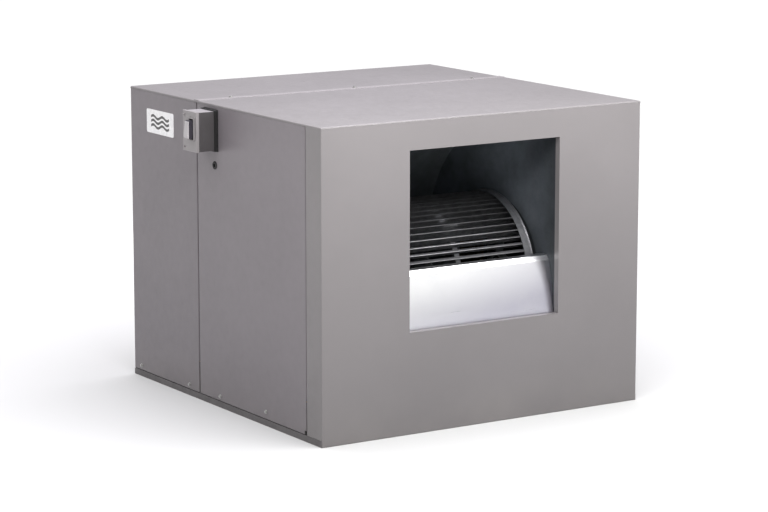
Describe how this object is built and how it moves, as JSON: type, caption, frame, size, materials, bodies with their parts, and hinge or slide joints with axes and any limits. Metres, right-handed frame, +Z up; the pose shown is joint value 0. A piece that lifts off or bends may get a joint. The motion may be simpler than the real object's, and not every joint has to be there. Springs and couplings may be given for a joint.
{
  "type": "evaporative cooler",
  "caption": "Side-discharge evaporative cooler cabinet with a belt-driven squirrel-cage blower, rigid media, pump, float valve and service panels.",
  "frame": {"origin": "centre of the base, on the floor", "axes": "+Z up, -Y towards the discharge opening, -X towards the side with the junction box"},
  "size_m": [1.1627, 1.0963, 0.8815],
  "materials": {
    "cabinet_paint": "semi-gloss baked enamel",
    "pan_paint": "baked enamel",
    "galvanised_sheet": "galvanised with spangle",
    "housing_sheet": "dark matt coating",
    "inlet_sheet": "dark matt coating",
    "wheel_steel": "galvanised",
    "hub_steel": "machined",
    "clip_steel": "bright spring steel",
    "shaft_steel": "ground",
    "bearing_steel": "machined, black rubber ring",
    "pulley_iron": "cast, painted dark",
    "belt_rubber": "ribbed",
    "motor_paint": "black semi-gloss",
    "bell_aluminium": "die cast",
    "media": "resin-stiffened fluted paper",
    "pipe_plastic": "extruded PVC",
    "hose_rubber": "smooth hose",
    "pump_plastic": "moulded",
    "impeller_plastic": "moulded",
    "valve_brass": "drawn brass",
    "float_plastic": "moulded",
    "box_steel": "dark grey semi-gloss enamel",
    "switch_plastic": "moulded",
    "lead_sheath": "flexible sheath",
    "badge": "white enamel",
    "screw_steel": "zinc plated",
    "grommet_rubber": "moulded"
  },
  "bodies": {
    "cabinet": {"front_panel": "cabinet_paint", "roof_front_panel": "cabinet_paint", "roof_rear_panel": "cabinet_paint", "left_media_panel": "cabinet_paint", "right_media_panel": "cabinet_paint", "media_frame": "cabinet_paint", "junction_box_cover": "cabinet_paint", "base_pan": "pan_paint", "base_skids": "galvanised_sheet", "cabinet_posts": "galvanised_sheet", "cutoff_plate": "galvanised_sheet", "media_support_rails": "galvanised_sheet", "distribution_hood": "galvanised_sheet", "blower_rails": "galvanised_sheet", "motor_mount": "galvanised_sheet", "bearing_brackets": "galvanised_sheet", "blower_left_side": "housing_sheet", "blower_right_side": "housing_sheet", "scroll_wrap": "housing_sheet", "inlet_rings": "inlet_sheet", "shaft_bearings": "bearing_steel", "drive_belt": "belt_rubber", "motor_body": "motor_paint", "motor_end_bells": "bell_aluminium", "media_pad_1": "media", "media_pad_2": "media", "media_pad_3": "media", "distributor_pipe": "pipe_plastic", "supply_hose": "hose_rubber", "pump_volute": "pump_plastic", "pump_motor": "pump_plastic", "float_valve_body": "valve_brass", "drain_nipple": "valve_brass", "drain_nut": "valve_brass", "junction_box": "box_steel", "motor_cable": "lead_sheath", "pump_cable": "lead_sheath", "badge_plate": "badge", "cabinet_screws": "screw_steel", "box_gasket": "grommet_rubber"},
    "left_panel": {"left_access_panel": "cabinet_paint", "left_panel_screws": "screw_steel", "water_line_grommet": "grommet_rubber"},
    "right_panel": {"right_access_panel": "cabinet_paint", "right_panel_screws": "screw_steel"},
    "blower_wheel": {"wheel_blades": "wheel_steel", "wheel_end_rings": "wheel_steel", "wheel_center_plate": "wheel_steel", "wheel_hub": "hub_steel", "balance_clips": "clip_steel", "blower_shaft": "shaft_steel", "shaft_collars": "hub_steel", "blower_pulley": "pulley_iron"},
    "motor_rotor": {"motor_shaft": "shaft_steel", "motor_pulley": "pulley_iron"},
    "pump_rotor": {"pump_impeller": "impeller_plastic"},
    "float": {"float_arm": "valve_brass", "float_ball": "float_plastic"},
    "overflow": {"overflow_pipe": "pipe_plastic"},
    "switch": {"switch_paddle": "switch_plastic"}
  },
  "joints": [
    {"name": "left_panel_off", "type": "slide", "parent": "cabinet", "child": "left_panel", "axis": [-1, 0, 0], "range_m": [0, 0.16]},
    {"name": "right_panel_off", "type": "slide", "parent": "cabinet", "child": "right_panel", "axis": [1, 0, 0], "range_m": [0, 0.16]},
    {"name": "blower_spin", "type": "hinge", "parent": "cabinet", "child": "blower_wheel", "pos_m": [0, -0.232, 0.373], "axis": [1, 0, 0], "continuous": true},
    {"name": "motor_spin", "type": "hinge", "parent": "cabinet", "child": "motor_rotor", "pos_m": [-0.4, 0.02, 0.64], "axis": [1, 0, 0], "continuous": true},
    {"name": "pump_spin", "type": "hinge", "parent": "cabinet", "child": "pump_rotor", "pos_m": [-0.43, 0.06, 0.08], "axis": [0, 0, 1], "continuous": true},
    {"name": "float_lift", "type": "hinge", "parent": "cabinet", "child": "float", "pos_m": [-0.492, -0.4, 0.092], "axis": [1, 0, 0], "range_deg": [0, 24]},
    {"name": "overflow_lift", "type": "slide", "parent": "cabinet", "child": "overflow", "axis": [0, 0, 1], "range_m": [0, 0.12]},
    {"name": "switch_rock", "type": "hinge", "parent": "cabinet", "child": "switch", "pos_m": [-0.6065, 0.04, 0.8095], "axis": [0, -1, 0], "range_deg": [0, 14]}
  ],
  "couplings": [
    {"joint": "motor_spin", "follows": "blower_spin", "ratio": 2.9412}
  ]
}
